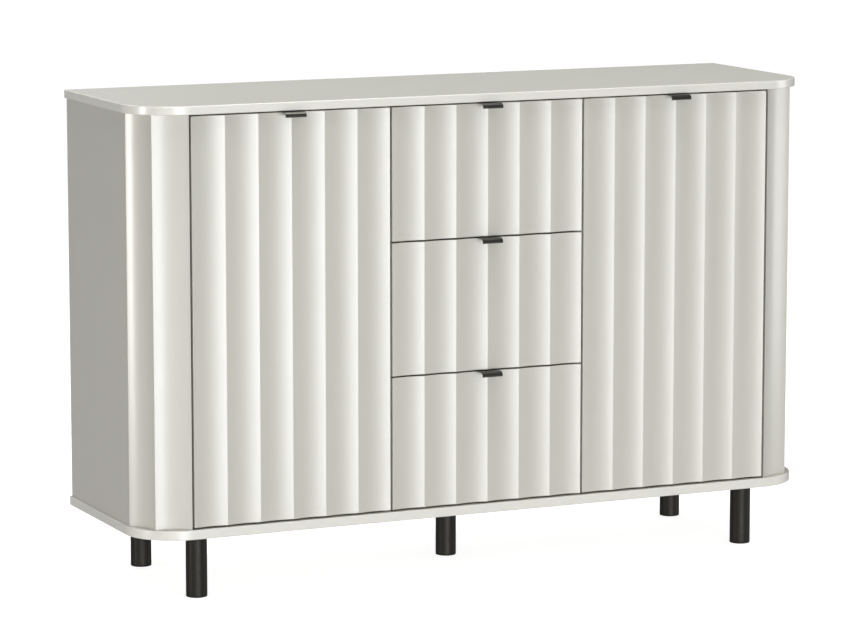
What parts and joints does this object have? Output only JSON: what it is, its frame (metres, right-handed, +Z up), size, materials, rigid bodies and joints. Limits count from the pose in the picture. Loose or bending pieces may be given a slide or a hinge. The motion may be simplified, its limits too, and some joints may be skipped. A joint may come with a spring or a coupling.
{
  "type": "sideboard buffet",
  "caption": "Low lacquered sideboard with rounded corners, fluted doors and drawer fronts, dark edge pulls and round black legs.",
  "frame": {"origin": "on the floor, under the middle of the overall box (under the middle leg)", "axes": "+X to the right seen from the front, +Y towards the back, +Z up; the doors and drawers face -Y"},
  "size_m": [1.4, 0.423, 0.92],
  "materials": {
    "lacquered_board": "satin warm-white lacquer on fibreboard",
    "inner_board": "matt warm-white melamine",
    "drawer_board": "matt warm-white melamine",
    "back_sheet": "thin painted hardboard",
    "black_steel": "satin black powder coat",
    "dark_metal": "dark bronze satin",
    "runner_steel": "zinc-plated sheet",
    "zinc_steel": "bright zinc",
    "black_plastic": "matt moulded",
    "nylon": "natural nylon"
  },
  "bodies": {
    "carcass": {"top_panel": "lacquered_board", "bottom_panel": "lacquered_board", "left_side_panel": "lacquered_board", "right_side_panel": "lacquered_board", "left_corner_column": "lacquered_board", "right_corner_column": "lacquered_board", "left_column_stile": "inner_board", "right_column_stile": "inner_board", "left_partition": "inner_board", "right_partition": "inner_board", "left_shelf": "inner_board", "right_shelf": "inner_board", "left_back_panel": "back_sheet", "middle_back_panel": "back_sheet", "right_back_panel": "back_sheet", "back_panel_screws": "zinc_steel", "shelf_pins": "zinc_steel", "cam_locks": "zinc_steel", "front_left_leg": "black_steel", "front_right_leg": "black_steel", "back_left_leg": "black_steel", "back_right_leg": "black_steel", "centre_leg": "black_steel", "foot_glides": "black_plastic", "leg_screws": "zinc_steel", "pivot_bushes": "nylon", "magnetic_catches": "nylon", "cabinet_rails": "runner_steel"},
    "left_door": {"left_door": "lacquered_board", "left_door_pull": "dark_metal", "left_door_pivot_pins": "dark_metal", "left_strike_plate": "zinc_steel"},
    "right_door": {"right_door": "lacquered_board", "right_door_pull": "dark_metal", "right_door_pivot_pins": "dark_metal", "right_strike_plate": "zinc_steel"},
    "lower_drawer": {"lower_drawer_front": "lacquered_board", "lower_drawer_pull": "dark_metal", "lower_drawer_left_side": "drawer_board", "lower_drawer_right_side": "drawer_board", "lower_drawer_back": "drawer_board", "lower_drawer_base": "drawer_board", "lower_drawer_rails": "runner_steel"},
    "middle_drawer": {"middle_drawer_front": "lacquered_board", "middle_drawer_pull": "dark_metal", "middle_drawer_left_side": "drawer_board", "middle_drawer_right_side": "drawer_board", "middle_drawer_back": "drawer_board", "middle_drawer_base": "drawer_board", "middle_drawer_rails": "runner_steel"},
    "upper_drawer": {"upper_drawer_front": "lacquered_board", "upper_drawer_pull": "dark_metal", "upper_drawer_left_side": "drawer_board", "upper_drawer_right_side": "drawer_board", "upper_drawer_back": "drawer_board", "upper_drawer_base": "drawer_board", "upper_drawer_rails": "runner_steel"},
    "lower_middle_rails": {"lower_drawer_middle_rails": "runner_steel"},
    "middle_middle_rails": {"middle_drawer_middle_rails": "runner_steel"},
    "upper_middle_rails": {"upper_drawer_middle_rails": "runner_steel"}
  },
  "joints": [
    {"name": "left_door_hinge", "type": "hinge", "parent": "carcass", "child": "left_door", "pos_m": [-0.57775, -0.18, 0.52], "axis": [0, 0, -1], "range_deg": [0, 110]},
    {"name": "right_door_hinge", "type": "hinge", "parent": "carcass", "child": "right_door", "pos_m": [0.57775, -0.18, 0.52], "axis": [0, 0, 1], "range_deg": [0, 110]},
    {"name": "lower_drawer_slide", "type": "slide", "parent": "carcass", "child": "lower_drawer", "axis": [0, -1, 0], "range_m": [0, 0.33]},
    {"name": "middle_drawer_slide", "type": "slide", "parent": "carcass", "child": "middle_drawer", "axis": [0, -1, 0], "range_m": [0, 0.33]},
    {"name": "upper_drawer_slide", "type": "slide", "parent": "carcass", "child": "upper_drawer", "axis": [0, -1, 0], "range_m": [0, 0.33]},
    {"name": "lower_middle_rail_slide", "type": "slide", "parent": "carcass", "child": "lower_middle_rails", "axis": [0, -1, 0], "range_m": [0, 0.165]},
    {"name": "middle_middle_rail_slide", "type": "slide", "parent": "carcass", "child": "middle_middle_rails", "axis": [0, -1, 0], "range_m": [0, 0.165]},
    {"name": "upper_middle_rail_slide", "type": "slide", "parent": "carcass", "child": "upper_middle_rails", "axis": [0, -1, 0], "range_m": [0, 0.165]}
  ],
  "couplings": [
    {"joint": "lower_middle_rail_slide", "follows": "lower_drawer_slide", "ratio": 0.5},
    {"joint": "middle_middle_rail_slide", "follows": "middle_drawer_slide", "ratio": 0.5},
    {"joint": "upper_middle_rail_slide", "follows": "upper_drawer_slide", "ratio": 0.5}
  ]
}
